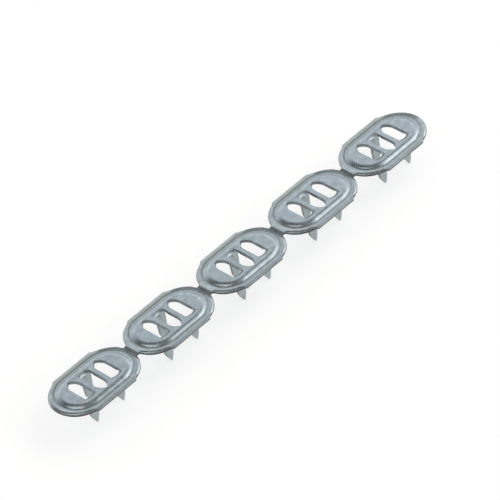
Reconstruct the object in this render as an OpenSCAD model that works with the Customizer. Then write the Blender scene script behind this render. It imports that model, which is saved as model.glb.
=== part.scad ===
// Strip of stamped truss nail plates, joined end to end by snap-off necks.
// The strip lies along X. Z = 0 is the plane that the tooth tips rest on.
// Each plate is one piece of sheet: a flat rim, an ogee step up to a raised panel,
// three slots across the panel, and one gouge tooth turned down out of each slot.

/* [Strip] */
// Number of plates in the strip
plates = 5; // [1:1:8]
// Spacing of the plates along the strip
pitch = 30; // [29.8:0.1:34]
// Thickness of the sheet
sheet_t = 0.75; // [0.6:0.05:1]
// Width of the snap-off neck between two plates
neck_w = 5.2; // [3:0.1:7]
// Width of the break line pressed across each neck
score_w = 1.3; // [0.6:0.1:1.6]
// Depth of the break line
score_depth = 0.35; // [0.1:0.05:0.45]
// Distance of the break line from the neck's middle, toward the plate on its left
score_off = 0.6; // [0:0.1:0.8]

/* [Plate] */
// Width of the plate between its two straight coil edges
plate_w = 19.2; // [18.4:0.1:20]
// Length of the plate over its round ends
plate_l = 29.7; // [28.8:0.1:29.8]
// Radius of the punched round ends
end_r = 9.15; // [8.7:0.05:9.2]
// Length of the straight coil edges
edge_l = 16.4; // [14:0.1:17]
// Chamfer where a coil edge meets a punched end
edge_chamfer = 0.9; // [0.5:0.1:1.1]
// Width of the rolled-over top edge that the punch leaves on the round ends
roll_w = 0.9; // [0.5:0.1:1.1]
// Drop of the rolled-over edge
roll_drop = 0.25; // [0.1:0.05:0.35]

/* [Raised panel] */
// Height of the panel above the rim
panel_rise = 0.5; // [0.3:0.05:0.7]
// Width of the panel, to the middle of its ogee step
panel_w = 13.3; // [13:0.1:13.9]
// Length of the panel, to the middle of its ogee step
panel_l = 23.6; // [23:0.1:24]
// Width of the ogee step
step_run = 2.2; // [1.8:0.1:2.6]

/* [Slots] */
// Spacing of the slots along the plate
slot_pitch = 5.2; // [5:0.05:5.4]
// Width of a slot
slot_w = 3.7; // [3.6:0.05:4.1]
// Distance from the middle of the plate to a slot's root end
slot_root = 5; // [4.7:0.05:5.1]
// Distance from the middle of the plate to a slot's pointed end
slot_tip = 5.3; // [4.8:0.05:5.4]
// Length of the pointed part of a slot
slot_point_l = 3.2; // [2.4:0.1:3.8]

/* [Teeth] */
// Depth of the tooth tips below the top of the panel
tooth_depth = 10; // [9:0.1:12]
// Width of a tooth at its root
tooth_w = 3.5; // [3.1:0.05:3.55]
// Width of a tooth where its point starts
tooth_neck_w = 2.9; // [2.4:0.1:3.1]
// Length of a tooth's point
tooth_point_l = 2.9; // [2.3:0.1:4]
// Width of the blunt end of a tooth
tooth_tip_w = 0.3; // [0.2:0.05:0.5]
// Inside radius of the bend at a tooth's root
bend_r = 0.6; // [0.4:0.1:0.9]
// Outside radius of the gouge section of a tooth
gouge_r = 3.5; // [3.1:0.1:5]

/* [Hidden] */
$fn = 96;
eps = 0.01;
slots = 3;
// Length of tooth root that lies in the panel
root_lap = 0.3;
// Radius of a slot's root end, where the panel starts to turn down into the gouge
root_r = gouge_r + bend_r;
// The rolled-over edge is an arc in section, which leaves the flat rim at roll_slope degrees
roll_slope = 5;
roll_r = norm([roll_w, roll_drop]) / (2 * sin(atan(roll_drop / roll_w) - roll_slope));
// Middle of the first plate, with the strip centred on X = 0
first_x = -pitch * (plates - 1) / 2;
// Underside of the rim, with the tooth tips on Z = 0
rim_z = tooth_depth - sheet_t - panel_rise;
// Underside of the panel
panel_z = rim_z + panel_rise;
// Middles of the round ends of the plate and of the panel
end_x = plate_l / 2 - end_r;
panel_end_x = (panel_l - panel_w) / 2;
// Angles about a round end's middle where a rolled edge stops, just off a neck and at a coil edge
roll_gap = 2;
neck_angle = asin(neck_w / 2 / end_r) + roll_gap;
corner_angle = atan2(plate_w / 2 - edge_chamfer, edge_l / 2 - end_x);
// The ogee is two arcs of one radius, each turned through step_angle
step_angle = 2 * atan(panel_rise / step_run);
step_mid_r = step_run / (2 * sin(step_angle));
step_in_r = step_mid_r - sheet_t / 2;
step_out_r = step_mid_r + sheet_t / 2;
// Half-widths where the flat panel ends and where the flat rim starts
panel_flat = (panel_w - step_run) / 2;
rim_flat = (panel_w + step_run) / 2;
// Reach of the blank from the panel end, past the plate outline and the neck
blank_half = max(plate_w / 2, pitch / 2 - panel_end_x) + 1;

// Sector of a ring about the origin, from angle a0 to angle a1 (90 degrees apart at most)
module ring_sector(r_in, r_out, a0, a1) {
    far = 2 * r_out;
    intersection() {
        difference() {
            circle(r_out);
            circle(r_in);
        }
        polygon([
            [0, 0],
            [far * cos(a0), far * sin(a0)],
            [far * cos(a1), far * sin(a1)]
        ]);
    }
}

// Half section of the formed sheet, from the panel's middle line out to the blank's edge
module half_section() {
    translate([0, panel_z])
        square([panel_flat, sheet_t]);
    translate([panel_flat, panel_z - step_in_r])
        ring_sector(step_in_r, step_out_r, 90 - step_angle, 90);
    translate([rim_flat, rim_z + step_out_r])
        ring_sector(step_in_r, step_out_r, 270 - step_angle, 270);
    translate([rim_flat, rim_z])
        square([blank_half - rim_flat, sheet_t]);
}

// Formed sheet of one plate before its outline is cut
module formed_blank() {
    for (side = [-1, 1]) {
        translate([side * panel_end_x, 0, 0])
            rotate([0, 0, -90 * side])
                rotate_extrude(angle = 180)
                    half_section();
        translate([-panel_end_x, 0, 0])
            rotate([90, 0, 90])
                linear_extrude(2 * panel_end_x)
                    mirror([side < 0 ? 1 : 0, 0])
                        half_section();
    }
}

// Outline of one plate with its half necks: punched round ends and straight coil edges
module plate_outline(neck_left, neck_right) {
    for (side = [-1, 1])
        translate([side * end_x, 0])
            circle(end_r);
    polygon([
        [-edge_l / 2, plate_w / 2 - edge_chamfer],
        [-edge_l / 2 + edge_chamfer, plate_w / 2],
        [edge_l / 2 - edge_chamfer, plate_w / 2],
        [edge_l / 2, plate_w / 2 - edge_chamfer],
        [edge_l / 2, -plate_w / 2 + edge_chamfer],
        [edge_l / 2 - edge_chamfer, -plate_w / 2],
        [-edge_l / 2 + edge_chamfer, -plate_w / 2],
        [-edge_l / 2, -plate_w / 2 + edge_chamfer]
    ]);
    if (neck_left)
        translate([-pitch / 2, -neck_w / 2])
            square([end_r, neck_w]);
    if (neck_right)
        translate([pitch / 2 - end_r, -neck_w / 2])
            square([end_r, neck_w]);
}

// Rolled-over top edge of a round end, from angle a0 to angle a1, as the solid that it takes away
module end_roll(a0, a1) {
    rotate([0, 0, a0])
        rotate_extrude(angle = a1 - a0)
            translate([
                end_r - roll_w - roll_r * sin(roll_slope),
                rim_z + sheet_t - roll_r * cos(roll_slope)
            ])
                difference() {
                    square([roll_w + 1, roll_r + 1]);
                    circle(roll_r);
                }
}

// The rolled-over edges of one plate: they stop at the necks and at the coil edges
module plate_rolls(neck_left, neck_right) {
    for (side = [-1, 1])
        mirror([side < 0 ? 1 : 0, 0, 0])
            translate([end_x, 0, 0])
                if (side < 0 ? neck_left : neck_right) {
                    end_roll(neck_angle, corner_angle);
                    end_roll(-corner_angle, -neck_angle);
                } else {
                    end_roll(-corner_angle, corner_angle);
                }
}

// Slot outline: root end round and bulging to y = 0, sides parallel, and a lancet point along +Y
module slot_outline() {
    slot_l = slot_root + slot_tip;
    half = slot_w / 2;
    side_l = slot_l - slot_point_l;
    arch_r = (half * half + slot_point_l * slot_point_l) / slot_w;
    intersection() {
        translate([0, root_r])
            circle(root_r);
        translate([-half, 0])
            square([slot_w, root_r]);
    }
    translate([-half, root_r])
        square([slot_w, side_l - root_r]);
    translate([0, side_l])
        intersection() {
            translate([half - arch_r, 0])
                circle(arch_r);
            translate([arch_r - half, 0])
                circle(arch_r);
            translate([-half, -eps])
                square([slot_w, slot_point_l + 1]);
        }
}

// Gouge tooth hanging from the slot's root end, which bulges to y = 0, with the slot along +Y.
// It is a tube with a bell mouth that turns out into the panel, cut to the tooth's front outline.
module tooth() {
    blade_top = panel_z - bend_r;
    translate([0, root_r, 0])
        intersection() {
            union() {
                linear_extrude(blade_top)
                    difference() {
                        circle(gouge_r);
                        circle(gouge_r - sheet_t);
                    }
                rotate_extrude() {
                    translate([root_r, blade_top])
                        ring_sector(bend_r, bend_r + sheet_t, 90, 180);
                    translate([root_r, panel_z])
                        square([root_lap, sheet_t]);
                }
            }
            rotate([90, 0, 0])
                linear_extrude(root_r + 1)
                    polygon([
                        [-tooth_w / 2, tooth_depth + 1],
                        [-tooth_w / 2, blade_top],
                        [-tooth_neck_w / 2, tooth_point_l],
                        [-tooth_tip_w / 2, 0],
                        [tooth_tip_w / 2, 0],
                        [tooth_neck_w / 2, tooth_point_l],
                        [tooth_w / 2, blade_top],
                        [tooth_w / 2, tooth_depth + 1]
                    ]);
        }
}

// One plate with its slots cut and its teeth bent down
module plate(neck_left, neck_right) {
    difference() {
        intersection() {
            formed_blank();
            linear_extrude(tooth_depth + 1)
                plate_outline(neck_left, neck_right);
        }
        plate_rolls(neck_left, neck_right);
        for (i = [0 : slots - 1])
            slot_place(i)
                linear_extrude(tooth_depth + 1)
                    slot_outline();
    }
    for (i = [0 : slots - 1])
        slot_place(i)
            tooth();
}

// Puts a slot or its tooth in place; the middle one is turned end for end
module slot_place(i) {
    x = (i - (slots - 1) / 2) * slot_pitch;
    turned = i % 2 == 1;
    translate([x, turned ? slot_root : -slot_root, 0])
        rotate([0, 0, turned ? 180 : 0])
            children();
}

// Break line across a neck, a V groove in the top of the sheet
module score_line() {
    rotate([90, 0, 0])
        translate([0, 0, -neck_w])
            linear_extrude(2 * neck_w)
                polygon([
                    [-score_w / 2, rim_z + sheet_t + eps],
                    [score_w / 2, rim_z + sheet_t + eps],
                    [0, rim_z + sheet_t - score_depth]
                ]);
}

module nail_plate_strip() {
    color("lightsteelblue")
        difference() {
            for (i = [0 : plates - 1])
                translate([first_x + i * pitch, 0, 0])
                    plate(i > 0, i < plates - 1);
            if (plates > 1)
                for (i = [1 : plates - 1])
                    translate([first_x + (i - 0.5) * pitch - score_off, 0, 0])
                        score_line();
        }
}

nail_plate_strip();
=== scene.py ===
import math

import bmesh
import bpy
import numpy as np
from mathutils import Matrix, Vector
from mathutils.geometry import tessellate_polygon


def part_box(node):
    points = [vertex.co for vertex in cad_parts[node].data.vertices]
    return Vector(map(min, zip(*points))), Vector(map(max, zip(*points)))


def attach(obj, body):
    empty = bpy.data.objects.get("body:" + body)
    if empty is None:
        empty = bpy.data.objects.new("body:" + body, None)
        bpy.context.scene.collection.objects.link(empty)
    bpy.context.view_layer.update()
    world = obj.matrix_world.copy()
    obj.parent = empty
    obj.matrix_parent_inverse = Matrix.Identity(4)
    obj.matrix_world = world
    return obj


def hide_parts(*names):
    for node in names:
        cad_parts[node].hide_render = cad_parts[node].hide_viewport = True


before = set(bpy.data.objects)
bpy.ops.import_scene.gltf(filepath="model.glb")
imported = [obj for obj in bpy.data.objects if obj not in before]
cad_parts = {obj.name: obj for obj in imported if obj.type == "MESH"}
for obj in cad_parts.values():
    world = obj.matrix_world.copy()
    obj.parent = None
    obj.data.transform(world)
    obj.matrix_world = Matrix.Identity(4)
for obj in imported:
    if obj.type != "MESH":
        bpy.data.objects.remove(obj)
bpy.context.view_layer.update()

MM = 0.001

# ---------------------------------------------------------------- small helpers


def linear(code):
    """A '#rrggbb' sRGB colour as linear RGBA."""
    parts = [int(code[i:i + 2], 16) / 255 for i in (1, 3, 5)]
    return tuple(c / 12.92 if c <= 0.04045 else ((c + 0.055) / 1.055) ** 2.4 for c in parts) + (1.0,)


def add(tree, kind, inputs=None, **settings):
    """Adds a node, sets its properties, and sets or links its inputs."""
    node = tree.nodes.new(kind)
    for name, value in settings.items():
        setattr(node, name, value)
    for name, value in (inputs or {}).items():
        if isinstance(value, bpy.types.NodeSocket):
            tree.links.new(value, node.inputs[name])
        else:
            node.inputs[name].default_value = value
    return node


def new_material(name):
    """An empty node material with its output node."""
    material = bpy.data.materials.new(name)
    material.use_nodes = True
    material.node_tree.nodes.clear()
    return material, material.node_tree, material.node_tree.nodes.new("ShaderNodeOutputMaterial")


# ---------------------------------------------------------------- the strip's own sizes, in mm

low, high = (np.array(corner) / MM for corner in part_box("nail_plate_strip"))
PLATES = 5
PLATE_L = 29.7
PITCH = (high[0] - low[0] - PLATE_L) / (PLATES - 1)
SHEET_T = 0.75
NECK_W = 5.2
BREAK_W, BREAK_DEPTH, BREAK_OFF = 1.3, 0.35, 0.6
COIL_Y = high[1]
END_R = 9.15
END_X = PLATE_L / 2 - END_R
COIL_L = 16.4
COIL_X = COIL_L / 2
COIL_CHAMFER = 0.9
ROLL_W, ROLL_DROP = 0.9, 0.25
ROLL_START = math.radians(5)
ROLL_R = math.hypot(ROLL_W, ROLL_DROP) / (2 * math.sin(math.atan2(ROLL_DROP, ROLL_W) - ROLL_START))
PANEL_TOP = high[2]
PANEL_RISE, PANEL_W, PANEL_L, STEP_RUN = 0.5, 13.3, 23.6, 2.2
CORE_X = (PANEL_L - PANEL_W) / 2
PANEL_FLAT = (PANEL_W - STEP_RUN) / 2
RIM_FLAT = (PANEL_W + STEP_RUN) / 2
STEP_SIN = math.sin(2 * math.atan2(PANEL_RISE, STEP_RUN))
# The punch is rounder than the die, so the step's shoulder has the larger radius and its foot the smaller
SHOULDER_R = 3.0
FOOT_R = STEP_RUN / STEP_SIN - SHOULDER_R
SLOT_PITCH, SLOT_W, SLOT_ROOT, SLOT_TIP, SLOT_POINT = 5.2, 3.7, 5.0, 5.3, 3.2
TOOTH_W, TOOTH_NECK_W, TOOTH_POINT, TOOTH_TIP_W = 3.5, 2.9, 2.9, 0.3
BEND_R, GOUGE_R = 0.6, 3.5
ROOT_R = BEND_R + GOUGE_R
# The bend starts wide and ends tight: radii of the middle of the sheet before and after BEND_CHANGE.
# The tight one follows, so that the blade stays where the solid has it.
BEND_CHANGE, BEND_WIDE = math.radians(40), 1.25
BEND_TIGHT = (BEND_R + SHEET_T / 2 - BEND_WIDE * math.sin(BEND_CHANGE)) / (1 - math.sin(BEND_CHANGE))
# Rounding of the sheared edges, on the face that the punch enters and on the other
EDGE_IN, EDGE_OUT = 0.12, 0.05
# Flat strip kept beside each rounding, so that the shading of the panel stays flat
SUPPORT = 0.05
# The rim is crowned: it leaves the foot of the step rising at CROWN_START, and curls back down
CROWN_START = math.tan(math.radians(5))
CROWN_CURVE, CROWN_CURVE_NECK = 0.057, 0.021
# How far the lower edge of a slot is dragged into it
SLOT_LIP = 0.18
# Height of the burr under the slot's sides
BURR = 0.12
# How much of the teeth's faces takes the bare tone: coating scraped off by the tools, and painted shade that
# dims their reflections
TOOTH_WEAR_AND_SHADE = 0.35


def smooth(x, a, b):
    """0 below a and 1 above b, with the cubic 3t^2 - 2t^3 between them."""
    t = np.clip((x - a) / (b - a), 0, 1)
    return t * t * (3 - 2 * t)


def spans(ends, counts):
    """Even steps from each value in ends to the next, with counts steps in each."""
    parts = [np.linspace(a, b, n, endpoint=False) for a, b, n in zip(ends, ends[1:], counts)]
    return np.append(np.concatenate(parts), ends[-1])


def stations():
    """Core x and outward direction at each place round a plate, counter-clockwise.

    The core is the line of length 2 CORE_X: directions fan out at its ends and are square to
    it along its sides. The fan has a place at every corner of the outline.
    """
    neck_x = END_X + math.sqrt(END_R ** 2 - (NECK_W / 2) ** 2)
    k = COIL_X + COIL_Y - COIL_CHAMFER - END_X
    cross_y = (k + math.sqrt(2 * END_R ** 2 - k * k)) / 2
    corners = [
        0.0,
        math.atan2(NECK_W / 2, PITCH / 2 - CORE_X),
        math.atan2(NECK_W / 2, neck_x - CORE_X),
        math.atan2(cross_y, END_X + k - cross_y - CORE_X),
        math.atan2(COIL_Y, COIL_X - COIL_CHAMFER - CORE_X),
        math.pi / 2]
    quarter = spans(corners, (8, 2, 30, 3, 5))
    fan = np.concatenate([-quarter[:0:-1], quarter])
    side = np.linspace(CORE_X, -CORE_X, 21)[1:-1]
    core = np.concatenate([np.full(fan.size, CORE_X), side, np.full(fan.size, -CORE_X), -side])
    angle = np.concatenate([fan, np.full(side.size, math.pi / 2),
                            fan + math.pi, np.full(side.size, -math.pi / 2)])
    return core, np.cos(angle), np.sin(angle)


def outline_distance(core, ux, uy, necks):
    """Distance from the core to the plate's edge along each direction.

    It is the furthest of three: the round end's circle, the coil edge with its chamfers, and
    the neck, which reaches to the middle between two plates. Also returns which directions
    end in a neck.
    """
    ax, ay = np.maximum(abs(ux), 1e-9), np.maximum(abs(uy), 1e-9)
    off = END_X - CORE_X
    circle = off * ax + np.sqrt(END_R ** 2 - (off * ay) ** 2)
    coil = np.minimum.reduce([COIL_Y / ay, (COIL_X - CORE_X) / ax,
                              (COIL_X + COIL_Y - COIL_CHAMFER - CORE_X) / (ax + ay)])
    has_neck = np.where(ux < 0, necks[0], necks[1]) & (abs(ux) > 0.5)
    neck = np.where(has_neck, np.minimum(NECK_W / 2 / ay, (PITCH / 2 - CORE_X) / ax), 0)
    in_neck = has_neck & (ay / ax < NECK_W / (PITCH - 2 * CORE_X) + 1e-6)
    return np.maximum.reduce([circle, coil, neck]), in_neck


def step_height(d, level, convex, concave):
    """Height of one face of the sheet at distance d from the core.

    Flat panel at level, then an arc of radius convex turning down, an arc of radius concave
    turning back, and the flat rim PANEL_RISE lower.
    """
    down = np.clip(d - PANEL_FLAT, 0, convex * STEP_SIN)
    back = np.clip(RIM_FLAT - d, 0, concave * STEP_SIN)
    return np.where(d < PANEL_FLAT + convex * STEP_SIN,
                    level + np.sqrt(convex ** 2 - down ** 2) - convex,
                    level - PANEL_RISE + concave - np.sqrt(concave ** 2 - back ** 2))


def rolled_edge(x, y, necks):
    """How far the punch has rolled the top edge of the round ends down.

    An arc of radius ROLL_R over the last ROLL_W of the end's radius, fading out beside the
    neck and at the coil edge.
    """
    run = abs(x) - END_X
    lead = ROLL_R * math.sin(ROLL_START)
    past = np.clip(np.hypot(run, y) - END_R + ROLL_W, 0, ROLL_W + 0.1)
    depth = math.sqrt(ROLL_R ** 2 - lead ** 2) - np.sqrt(ROLL_R ** 2 - (past + lead) ** 2)
    angle = np.degrees(np.arctan2(abs(y), run))
    neck = np.where(x < 0, necks[0], necks[1])
    return depth * np.where(neck, smooth(angle, 15, 24), 1) * (1 - smooth(angle, 66, 75))


def break_line(x, necks):
    """Depth of the V grooves across the necks, with their bottoms rounded.

    It is BREAK_DEPTH (1.12 - a), with a = sqrt(x^2 + 0.08^2) / (BREAK_W / 2) at x from the
    groove's middle.
    """
    depth = np.zeros_like(x)
    for has_neck, middle in zip(necks, (-PITCH / 2 - BREAK_OFF, PITCH / 2 - BREAK_OFF)):
        if has_neck:
            away = np.sqrt((x - middle) ** 2 + 0.08 ** 2) / (BREAK_W / 2)
            depth += BREAK_DEPTH * np.clip(1.12 - away, 0, 1)
    return depth


def rim_grime(d, x, y, depth, necks):
    """Painted shade on the top face: the foot of the step, the break lines and the +X +Y arc.

    The foot's crease gets painted shade, a bell curve in the distance d from the core, darkest
    along +Y. A break line gets painted shade right across its groove, a little toward -X. The
    arc at +X +Y gets a painted dark reflection over the last 1.6 mm of the end's radius, from
    the neck round to the coil edge.
    """
    foot = np.exp(-((d - RIM_FLAT - 0.1) / 0.22) ** 2)
    run = abs(x) - END_X
    angle = np.degrees(np.arctan2(y, run))
    far_right_arc = smooth(angle, -14, 2) * (1 - smooth(angle, 60, 75)) * (x > 0)
    dark_reflection = smooth(np.hypot(run, y), END_R - 1.6, END_R - 1.1) * far_right_arc
    groove = np.zeros_like(x)
    for has_neck, middle in zip(necks, (-PITCH / 2 - BREAK_OFF, PITCH / 2 - BREAK_OFF)):
        if has_neck:
            away = abs(x - middle + 0.3)
            groove = np.maximum(groove, 1 - smooth(away, 0.5 * BREAK_W, 0.7 * BREAK_W))
    foot = foot * (0.32 + 0.43 * smooth(y, -2, 8))
    return np.clip(foot + np.maximum(0.75 * dark_reflection, 0.85 * groove), 0, 1) * (1 - depth)


def rim_crown(d, uy):
    """Height that the crowned rim adds: a parabola in the distance w from the step's foot.

    It starts with the slope CROWN_START. Its curve is weak toward the necks, so that the sheet
    comes out level half-way across them, and strongest along the coil edges, which hang a
    little. Along -Y all of it is 40 percent less.
    """
    w = np.clip(d - RIM_FLAT, 0, None)
    curve = CROWN_CURVE_NECK + (CROWN_CURVE - CROWN_CURVE_NECK) * smooth(abs(uy), 0.15, 0.8)
    return (CROWN_START * w - curve * w * w) * (1 - 0.4 * smooth(-uy, 0.6, 0.95))


def edge_profile():
    """Inset from the cut and depth below the top face, from the top face round to the bottom.

    A quarter circle of radius EDGE_IN, the straight cut, and a quarter circle of EDGE_OUT.
    """
    a = np.linspace(0, math.pi / 2, 5)
    b = np.linspace(math.pi / 2, 0, 3)
    inset = np.concatenate([EDGE_IN * (1 - np.sin(a)), EDGE_OUT * (1 - np.sin(b))])
    depth = np.concatenate([EDGE_IN * (1 - np.cos(a)), SHEET_T - EDGE_OUT * (1 - np.cos(b))])
    return inset, depth


def grid_faces(first, rows, columns, closed, keep=None):
    """Quads of a grid whose points are numbered row by row from first."""
    r, c = np.meshgrid(np.arange(rows - 1), np.arange(columns - (0 if closed else 1)), indexing="ij")
    n = (c + 1) % columns
    quads = np.stack([r * columns + c, r * columns + n, (r + 1) * columns + n, (r + 1) * columns + c], -1)
    quads = quads if keep is None else quads[keep]
    return (quads.reshape(-1, 4) + first).tolist()


class Shell:
    """Points, faces and colour masks of the strip while it is put together; both masks carry painted shade.
    """

    def __init__(self):
        self.points, self.bare, self.grime, self.faces, self.count = [], [], [], [], 0

    def add(self, xyz, bare, grime):
        """Adds points with their two masks, and returns the number of the first."""
        xyz = np.asarray(xyz).reshape(-1, 3)
        self.points.append(xyz)
        self.bare.append(np.broadcast_to(bare, xyz.shape[:1]))
        self.grime.append(np.broadcast_to(grime, xyz.shape[:1]))
        first = self.count
        self.count += len(xyz)
        return first


def rim_and_step(shell, x0, necks):
    """Rim and ogee step of one plate, both faces and the cut edge, from the panel round to it.

    Rows run from the bottom of the panel out over the step and rim, up the cut edge, and back
    over the top. Returns the point numbers of its inner loops, top and bottom.
    """
    core, ux, uy = stations()
    reach, in_neck = outline_distance(core, ux, uy, necks)
    # Where the sheet runs on into a neck its edge has no rounding
    near_neck = np.where(ux < 0, necks[0], necks[1]) & (abs(ux) > 0.5)
    side = np.where(near_neck, smooth(abs(uy) / abs(ux).clip(0.1), 0.27, 0.36), 1.0)
    inset, depth = edge_profile()
    # A ring just inside the edge of the flat panel keeps the panel's shading flat
    inner = PANEL_FLAT - 0.03
    out_step = np.append(inner, np.linspace(PANEL_FLAT, RIM_FLAT, 15))
    top_rim = np.linspace(0, 1, 17)[1:-1]
    bottom_rim = np.linspace(0, 1, 7)[1:-1]

    def rim(fraction, edge):
        return RIM_FLAT + fraction[:, None] * (reach - edge * side - RIM_FLAT)

    step = np.repeat(out_step[:, None], core.size, axis=1)
    d_bottom = np.concatenate([step, rim(bottom_rim, EDGE_OUT)])
    d_edge = reach - inset[::-1, None] * side
    d_top = np.concatenate([rim(top_rim, EDGE_IN)[::-1], step[::-1]])
    d = np.concatenate([d_bottom, d_edge, d_top])
    x, y = core + ux * d, uy * d
    half, crown = SHEET_T / 2, rim_crown(d, uy)
    top = (step_height(d, PANEL_TOP, SHOULDER_R + half, FOOT_R - half)
           + crown - rolled_edge(x, y, necks) - break_line(x, necks))
    bottom = step_height(d, PANEL_TOP - SHEET_T, SHOULDER_R - half, FOOT_R + half) + crown
    nb, ne = len(d_bottom), len(d_edge)
    share = np.concatenate([np.ones(nb), depth[::-1] / SHEET_T, np.zeros(len(d_top))])[:, None]
    z = top + (bottom - top) * share
    cut = np.concatenate([np.zeros(nb), [0, 1, 1, 1, 1, 0.6, 0.2, 0], np.zeros(len(d_top))])[:, None]
    # Cut edges take the bare tone, darkened as painted shade, less along the coil edges
    bare = cut * (0.6 + 0.4 * smooth(abs(x), COIL_X - 0.9, COIL_X + 0.1))
    first = shell.add(np.stack([x + x0, y, z], -1), bare.ravel(), rim_grime(d, x, y, share, necks).ravel())
    keep = np.ones((len(d) - 1, core.size), dtype=bool)
    keep[nb:nb + ne - 1] &= ~(in_neck & np.roll(in_neck, -1))
    shell.faces += grid_faces(first, len(d), core.size, True, keep)
    last = first + (len(d) - 1) * core.size
    loop = np.arange(core.size)
    return last + loop, first + loop


def slot_path():
    """Outline of a slot from its right root corner round its point to its left one.

    Straight sides and two arcs that meet in a point; returns points, outward directions, and
    how far the edge rounding has grown on leaving the root corners. Y = 0 is the root.
    """
    half = SLOT_W / 2
    side_l = SLOT_ROOT + SLOT_TIP - SLOT_POINT
    arch_r = (half ** 2 + SLOT_POINT ** 2) / SLOT_W
    sweep = math.asin(SLOT_POINT / arch_r)
    corner_y = ROOT_R - math.sqrt(ROOT_R ** 2 - half ** 2)
    y = spans([corner_y, corner_y + 0.8, side_l], (6, 14))
    a = np.linspace(0, sweep, 15)[1:]
    px = np.concatenate([np.full(y.size, half), half - arch_r + arch_r * np.cos(a)])
    py = np.concatenate([y, side_l + arch_r * np.sin(a)])
    nx = np.concatenate([np.ones(y.size), np.cos(a)])
    ny = np.concatenate([np.zeros(y.size), np.sin(a)])
    nx[-1], ny[-1] = 0, 1 / math.sin(sweep)
    grown = smooth(py, corner_y, corner_y + 0.8)
    back = slice(-2, None, -1)
    return (np.concatenate([px, -px[back]]), np.concatenate([py, py[back]]),
            np.concatenate([nx, -nx[back]]), np.concatenate([ny, ny[back]]),
            np.concatenate([grown, grown[back]]))


def tooth_width(z):
    """Front width of a tooth: nearly parallel sides, then a point with slightly bulged sides."""
    blade_l = PANEL_TOP - SHEET_T - BEND_R - TOOTH_POINT
    blade = TOOTH_NECK_W + (TOOTH_W - TOOTH_NECK_W) * (z - TOOTH_POINT) / blade_l
    t = np.clip(z / TOOTH_POINT, 0, 1)
    point = TOOTH_TIP_W + (TOOTH_NECK_W - TOOTH_TIP_W) * (1.25 * t - 0.25 * t * t * t)
    return np.where(z > TOOTH_POINT, blade, point)


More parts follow.
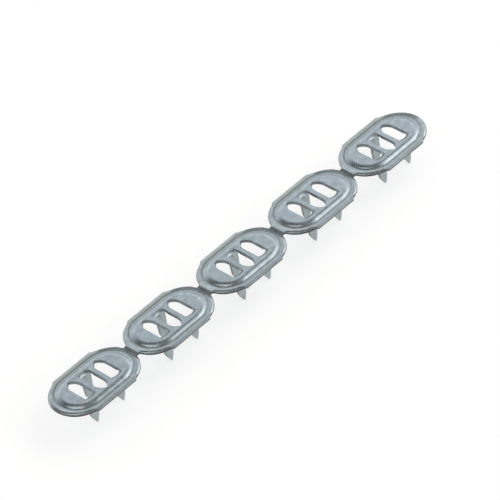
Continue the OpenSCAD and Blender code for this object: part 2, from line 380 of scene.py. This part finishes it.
def slot_and_tooth(shell, x0, index):
    """One slot's sheared edge and the gouge tooth that hangs from its root.

    The tooth is a closed section carried from the root round the bell mouth and down the
    blade. A point of the section has a share of the thickness and a distance from the middle;
    the bend turns it through 90 degrees about a circle round the gouge's axis. The middle of
    the sheet turns on two arcs, of radius R = BEND_WIDE up to BEND_CHANGE and BEND_TIGHT
    after it: from angle a to angle b it goes in by R (sin b - sin a) and down by
    R (cos a - cos b).
    Returns the point numbers of the hole that it leaves in the panel, top and bottom.
    """
    turn = -1 if index % 2 else 1
    shift = (index - 1) * SLOT_PITCH + x0

    def place(x, y, z):
        return np.stack([shift + turn * x, turn * (y - SLOT_ROOT), z], -1)

    # Sheared edge of the slot
    px, py, nx, ny, grown = slot_path()
    inset, depth = edge_profile()
    inset = np.concatenate([[EDGE_IN + SUPPORT], inset, [EDGE_OUT + SUPPORT]])
    depth = np.concatenate([[0], depth, [SHEET_T]])
    # The lower edge leans into the slot, away from the tooth's root
    lip = SLOT_LIP * np.clip(depth / SHEET_T, 0, 1)[:, None] * smooth(py, 2.0, 3.2)
    away = inset[:, None] * grown - lip
    z = PANEL_TOP - np.where(depth < SHEET_T / 2, depth, 0)[:, None] * grown
    z = np.where((depth < SHEET_T / 2)[:, None], z,
                 PANEL_TOP - SHEET_T + (SHEET_T - depth)[:, None] * grown)
    # The punch drags the lower edge down into a burr
    burr = np.array([0, 0, 0, 0, 0, 0, 1, 1, 0.7, 0])[:, None]
    z = z - BURR * burr * smooth(py, py[0], py[0] + 0.6)
    # Sheared walls take the bare tone, darkened as painted shade, less toward the root
    sheared = np.array([0, 0, 0.2, 0.4, 0.55, 0.55, 0.55, 0.55, 0, 0])[:, None]
    bare = sheared * (0.3 + 0.7 * smooth(py, 1.0, 3.0))
    first = shell.add(place(px + nx * away, py + ny * away, z), bare.ravel(), 0.0)
    shell.faces += grid_faces(first, len(inset), px.size, False)
    hole_top = first + np.arange(px.size)
    hole_bottom = first + (len(inset) - 1) * px.size + np.arange(px.size)

    # Tooth: rows down its length, columns round its section
    bend = np.radians(np.array([0, 4, 10, 16, 24, 32, 40, 50, 60, 70, 80, 90]))
    early, late = np.minimum(bend, BEND_CHANGE), np.maximum(bend, BEND_CHANGE)
    mid_in = BEND_WIDE * np.sin(early) + BEND_TIGHT * (np.sin(late) - math.sin(BEND_CHANGE))
    mid_z = (PANEL_TOP - SHEET_T / 2 + BEND_WIDE * (np.cos(early) - 1)
             + BEND_TIGHT * (np.cos(late) - math.cos(BEND_CHANGE)))
    blade_z = spans([mid_z[-1], TOOTH_POINT, 0], (8, 12))[1:]
    slit = smooth(np.degrees(bend), 15, 90)
    bend_width = SLOT_W + (tooth_width(mid_z[-1]) - SLOT_W) * slit
    width = np.concatenate([bend_width, tooth_width(blade_z)])[:, None]
    bend = np.concatenate([bend, np.full(blade_z.size, math.pi / 2)])
    mid_in = np.concatenate([mid_in, np.full(blade_z.size, mid_in[-1])])[:, None]
    mid_z = np.concatenate([mid_z, blade_z])[:, None]
    rounding = smooth(np.arange(bend.size), 0, 3)[:, None]
    across = np.linspace(1, -1, 13)
    a = np.linspace(0, math.pi / 2, 4)[1:]
    b = np.linspace(math.pi / 2, 0, 3)[:-1]
    ri, ro = EDGE_IN * rounding, EDGE_OUT * rounding

    def side(sign):
        """Section points round one sheared side, from the inner face to the outer."""
        x = sign * np.concatenate([width / 2 - ri * (1 - np.sin(a)),
                                   width / 2 - ro * (1 - np.sin(b))], axis=1)
        t = np.concatenate([ri * (1 - np.cos(a)), SHEET_T - ro * (1 - np.cos(b))], axis=1)
        return x, t

    lx, lt = side(-1)
    rx, rt = side(1)
    inner_x = across * (width / 2 - ri)
    outer_x = across[::-1] * (width / 2 - ro)
    x = np.concatenate([inner_x, lx, outer_x, rx[:, ::-1]], axis=1)
    t = np.concatenate([np.zeros_like(inner_x), lt, np.full_like(outer_x, SHEET_T), rt[:, ::-1]], axis=1)
    out = SHEET_T / 2 - t
    rho = ROOT_R - mid_in - out * np.sin(bend)[:, None]
    y = ROOT_R - np.sqrt(rho ** 2 - x ** 2)
    z = mid_z + out * np.cos(bend)[:, None]
    n = across.size
    cut = np.array([0.2, 0.5, 0.6, 0.6, 0.4])
    cut = np.concatenate([np.zeros(n), cut, np.zeros(n), cut[::-1]])
    angle = np.degrees(bend)
    # Scraped coating and painted shade, most on the bend where it dims the highlight, a quarter of it down
    # the blade
    worn_and_shaded = TOOTH_WEAR_AND_SHADE * (smooth(angle, 5, 25) - 0.75 * smooth(angle, 30, 60))
    bare = np.maximum(cut, worn_and_shaded[:, None])
    # Painted shade: a dark arc where the bend starts, over the first part of the bend's highlight
    bend_shade = 0.4 * np.exp(-((angle - 13) / 10) ** 2)[:, None] + np.zeros_like(x)
    first = shell.add(place(x, y, z), bare.ravel(), bend_shade.ravel())
    columns = x.shape[1]
    shell.faces += grid_faces(first, bend.size, columns, True)
    tip = first + (bend.size - 1) * columns
    shell.faces.append((tip + np.arange(columns)).tolist())
    root_top = first + np.arange(n)
    root_bottom = first + n + 5 + np.arange(n)
    return (np.concatenate([hole_top, root_top[-2:0:-1]]),
            np.concatenate([hole_bottom, root_bottom[1:-1]]))


def flat_panel(shell, outer, holes):
    """Flat face between an outer loop and the holes in it, as triangles."""
    loops = [outer] + holes
    points = np.concatenate(shell.points)
    ids = np.concatenate(loops)
    triangles = tessellate_polygon([[Vector(points[i]) for i in loop] for loop in loops])
    shell.faces += ids[np.array(triangles)].tolist()


def strip_mesh():
    """The whole strip as one closed skin, its doubles merged and its faces turned outwards."""
    shell = Shell()
    for plate in range(PLATES):
        x0 = (plate - (PLATES - 1) / 2) * PITCH
        necks = np.array([plate > 0, plate < PLATES - 1])
        top, bottom = rim_and_step(shell, x0, necks)
        holes = [slot_and_tooth(shell, x0, i) for i in range(3)]
        flat_panel(shell, top, [hole[0] for hole in holes])
        flat_panel(shell, bottom, [hole[1] for hole in holes])
    mesh = bpy.data.meshes.new("nail_plate_strip_sheet")
    mesh.from_pydata(np.concatenate(shell.points) * MM, [], shell.faces)
    for name, mask in (("bare", shell.bare), ("grime", shell.grime)):
        mesh.attributes.new(name, "FLOAT", "POINT").data.foreach_set("value", np.concatenate(mask))
    skin = bmesh.new()
    skin.from_mesh(mesh)
    bmesh.ops.remove_doubles(skin, verts=skin.verts, dist=2e-6)
    bmesh.ops.delete(skin, geom=[v for v in skin.verts if not v.link_faces], context="VERTS")
    bmesh.ops.recalc_face_normals(skin, faces=skin.faces)
    skin.to_mesh(mesh)
    skin.free()
    mesh.polygons.foreach_set("use_smooth", np.ones(len(mesh.polygons), dtype=bool))
    return mesh


# ---------------------------------------------------------------- materials

ZINC_DARK, ZINC_LIGHT, ZINC_LINE, ZINC_NEUTRAL = "#a1aeb7", "#b5c3cb", "#abb4b9", "#a4aba3"
# Tones of painted shade, and of bare steel darkened as painted shade
PAINTED_SHADE_TONE, BARE_SHADED_TONE = "#575d5f", "#565552"
ROUGH = 0.22
# Sizes of the coating's marks, in mm
CLOUD, LINE, SPECK = 2.0, 0.35, 0.6


def zinc_coated_steel():
    """Electro-galvanised cold rolled steel, with a dull bluish sheen.

    Clouds 2 mm across and fine rolling lines along the strip vary the tone and the roughness.
    Below the panels, and most along the +Y rims, it is more neutral.
    One mask gives sheared and scraped steel, in a tone darkened as painted shade; the other is painted shade
    in the step's foot, the break lines and the start of each tooth's bend, and a painted dark reflection on
    the +X +Y arcs.
    """
    material, tree, output = new_material("zinc_coated_steel")
    coords = add(tree, "ShaderNodeTexCoord").outputs["Object"]
    mm = add(tree, "ShaderNodeVectorMath", {0: coords, "Scale": 1 / MM}, operation="SCALE").outputs[0]
    drawn = add(tree, "ShaderNodeVectorMath", {0: mm, 1: (0.12, 1, 1)}, operation="MULTIPLY").outputs[0]

    def noise(vector, size, detail):
        """Noise whose marks are about size mm across."""
        inputs = {"Vector": vector, "Scale": 1 / size, "Detail": detail}
        return add(tree, "ShaderNodeTexNoise", inputs).outputs["Fac"]

    cloud, lines, speck = noise(mm, CLOUD, 3.0), noise(drawn, LINE, 2.0), noise(mm, SPECK, 3.0)
    bare = add(tree, "ShaderNodeAttribute", attribute_name="bare").outputs["Fac"]
    grime = add(tree, "ShaderNodeAttribute", attribute_name="grime").outputs["Fac"]

    def blend(factor, first, second):
        """The mix of two colours by factor. Each is an sRGB code or another node's colour."""
        mix = add(tree, "ShaderNodeMix", {"Factor": factor}, data_type="RGBA")
        for socket, colour in ((mix.inputs[6], first), (mix.inputs[7], second)):
            if isinstance(colour, bpy.types.NodeSocket):
                tree.links.new(colour, socket)
            else:
                socket.default_value = linear(colour)
        return mix.outputs[2]

    def remap(value, low_in, high_in, low_out, high_out):
        """A value stretched from one range onto another, and held at its ends."""
        return add(tree, "ShaderNodeMapRange", {
            "Value": value, "From Min": low_in, "From Max": high_in,
            "To Min": low_out, "To Max": high_out}).outputs["Result"]

    def total(first, second, operation="ADD"):
        """The sum of two values, or what another operation makes of them."""
        return add(tree, "ShaderNodeMath", {0: first, 1: second}, operation=operation).outputs[0]

    zinc = blend(remap(cloud, 0.35, 0.65, 0, 1), ZINC_DARK, ZINC_LIGHT)
    zinc = blend(remap(lines, 0.35, 0.7, 0, 0.5), zinc, ZINC_LINE)
    axes = add(tree, "ShaderNodeSeparateXYZ", {"Vector": mm}).outputs
    neutral = total(remap(axes["Z"], 8.8, 9.9, 0.4, 0.0), remap(axes["Y"], 6.5, 8.5, 0.0, 0.45))
    zinc = blend(neutral, zinc, ZINC_NEUTRAL)
    # Painted shade and painted dark reflections from the shade mask, broken up by specks
    shade_amount = total(grime, remap(speck, 0.3, 0.7, 0.65, 1.0), "MULTIPLY")
    zinc = blend(shade_amount, zinc, PAINTED_SHADE_TONE)
    # Bare steel and scraped coating, in a tone darkened as painted shade
    colour = blend(bare, zinc, BARE_SHADED_TONE)
    rough = total(remap(lines, 0.3, 0.7, ROUGH, ROUGH + 0.1), remap(speck, 0.3, 0.7, -0.03, 0.05))
    rough = total(rough, total(total(grime, bare, "MAXIMUM"), 0.25, "MULTIPLY"))
    relief = total(total(lines, 0.6, "MULTIPLY"), total(speck, 0.4, "MULTIPLY"))
    bump = add(tree, "ShaderNodeBump", {"Height": relief, "Strength": 0.18, "Distance": 0.02 * MM})
    shader = add(tree, "ShaderNodeBsdfPrincipled", {
        "Base Color": colour, "Metallic": 1.0, "Roughness": rough, "Normal": bump.outputs["Normal"]})
    tree.links.new(shader.outputs["BSDF"], output.inputs["Surface"])
    return material


# How bright the floor is to the camera and in reflections, on top of the light that falls on it
FLOOR_GLOW = 0.7


def floor_board():
    """Matt board that also glows for the camera and for the metal, so that both see it as white."""
    material, tree, output = new_material("matt_white_board")
    board = add(tree, "ShaderNodeBsdfPrincipled", {"Base Color": linear("#a1a1a1"), "Roughness": 0.9})
    path = add(tree, "ShaderNodeLightPath").outputs
    seen = path["Is Camera Ray"]
    for ray in ("Is Glossy Ray", "Is Transmission Ray"):
        seen = add(tree, "ShaderNodeMath", {0: seen, 1: path[ray]}, operation="MAXIMUM").outputs[0]
    glow = add(tree, "ShaderNodeMath", {0: seen, 1: FLOOR_GLOW}, operation="MULTIPLY")
    lit = add(tree, "ShaderNodeEmission", {"Strength": glow.outputs[0]})
    both = add(tree, "ShaderNodeAddShader", {0: board.outputs["BSDF"], 1: lit.outputs["Emission"]})
    tree.links.new(both.outputs["Shader"], output.inputs["Surface"])
    return material


sheet = bpy.data.objects.new("nail_plate_sheet", strip_mesh())
bpy.context.scene.collection.objects.link(sheet)
sheet.data.materials.append(zinc_coated_steel())
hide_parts("nail_plate_strip")
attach(sheet, "root")

# ---------------------------------------------------------------- stage, light and camera


def heading(azimuth, elevation):
    """Unit vector toward an azimuth, counter-clockwise from +X, and an elevation."""
    return Vector((math.cos(elevation) * math.cos(azimuth),
                   math.cos(elevation) * math.sin(azimuth), math.sin(elevation)))


floor_mesh = bpy.data.meshes.new("floor")
floor_mesh.from_pydata([(-6, -6, 0), (6, -6, 0), (6, 6, 0), (-6, 6, 0)], [], [(0, 1, 2, 3)])
floor = bpy.data.objects.new("floor", floor_mesh)
bpy.context.scene.collection.objects.link(floor)
floor.data.materials.append(floor_board())

# The dark flag: its direction, and the angles from it where its shade is full and where it ends
FLAG_AZIMUTH, FLAG_ELEVATION = math.radians(106), math.radians(54)
FLAG_FULL, FLAG_END = math.radians(10), math.radians(30)
world = bpy.data.worlds.new("studio")
bpy.context.scene.world = world
world.use_nodes = True
wt = world.node_tree
wt.nodes.clear()
direction = add(wt, "ShaderNodeTexCoord").outputs["Generated"]
height = add(wt, "ShaderNodeSeparateXYZ", {"Vector": direction}).outputs["Z"]
ramp = add(wt, "ShaderNodeValToRGB", {"Fac": height})
# Brightness of the studio by height, as the sine of the elevation: brightest at about 33 degrees
steps = [(0.0, 0.6), (0.22, 0.68), (0.42, 1.0), (0.55, 1.32), (0.645, 1.24),
         (0.685, 0.8), (0.725, 0.36), (0.84, 0.2), (1.0, 0.2)]
ramp.color_ramp.elements[0].position = steps[0][0]
ramp.color_ramp.elements[0].color = (steps[0][1],) * 3 + (1,)
ramp.color_ramp.elements[1].position = steps[-1][0]
ramp.color_ramp.elements[1].color = (steps[-1][1],) * 3 + (1,)
for stop, level in steps[1:-1]:
    element = ramp.color_ramp.elements.new(stop)
    element.color = (level,) * 3 + (1,)
flag = heading(FLAG_AZIMUTH, FLAG_ELEVATION)
near_flag = add(wt, "ShaderNodeVectorMath", {0: direction, 1: flag}, operation="DOT_PRODUCT").outputs["Value"]
shade = add(wt, "ShaderNodeMapRange", {
    "Value": near_flag, "From Min": math.cos(FLAG_END), "From Max": math.cos(FLAG_FULL),
    "To Min": 1.0, "To Max": 0.3}, interpolation_type="SMOOTHSTEP").outputs["Result"]
background = add(wt, "ShaderNodeBackground", {"Color": ramp.outputs["Color"], "Strength": shade})
wt.links.new(background.outputs["Background"], wt.nodes.new("ShaderNodeOutputWorld").inputs["Surface"])


def softbox(name, azimuth, elevation, distance, width, height, level):
    """A rectangular lamp that looks at the strip, with its place in degrees and metres.

    level is its radiance.
    """
    light = bpy.data.lights.new(name, "AREA")
    light.shape = "RECTANGLE"
    light.size, light.size_y = width, height
    light.energy = level * math.pi * width * height
    light.color = (1.0, 0.985, 0.95)
    lamp = bpy.data.objects.new(name, light)
    bpy.context.scene.collection.objects.link(lamp)
    lamp.location = heading(math.radians(azimuth), math.radians(elevation)) * distance
    lamp.rotation_euler = (-lamp.location).to_track_quat("-Z", "Y").to_euler()
    return lamp


softbox("key_softbox", -18, 50, 1.2, 0.95, 0.8, 1.65)
softbox("small_softbox", 126, 72, 1.2, 0.26, 0.5, 1.7)
softbox("low_softbox", -62, 22, 1.2, 0.8, 0.5, 1.0)

# The camera's target, its azimuth and elevation, its roll, and its distance in metres
AIM = Vector((2.7, -1.5, 11.8)) * MM
VIEW_AZIMUTH = math.radians(37.3)
VIEW_ELEVATION = math.radians(41)
ROLL = math.radians(-12.9)
DISTANCE = 1.304
forward = Vector((math.sin(VIEW_AZIMUTH) * math.cos(VIEW_ELEVATION),
                  math.cos(VIEW_AZIMUTH) * math.cos(VIEW_ELEVATION), -math.sin(VIEW_ELEVATION)))
right = Vector((math.cos(VIEW_AZIMUTH), -math.sin(VIEW_AZIMUTH), 0))
up = right.cross(forward)
right_rolled = math.cos(ROLL) * right + math.sin(ROLL) * up
up_rolled = math.cos(ROLL) * up - math.sin(ROLL) * right
camera = bpy.data.objects.new("camera", bpy.data.cameras.new("camera"))
bpy.context.scene.collection.objects.link(camera)
camera.data.sensor_width = 36
camera.data.lens = 328.3
camera.data.clip_start = 0.1
camera.data.clip_end = 30
rotation = Matrix((right_rolled, up_rolled, -forward)).transposed().to_4x4()
camera.matrix_world = Matrix.Translation(AIM - forward * DISTANCE) @ rotation
bpy.context.scene.camera = camera
bpy.context.scene.view_settings.view_transform = "Standard"
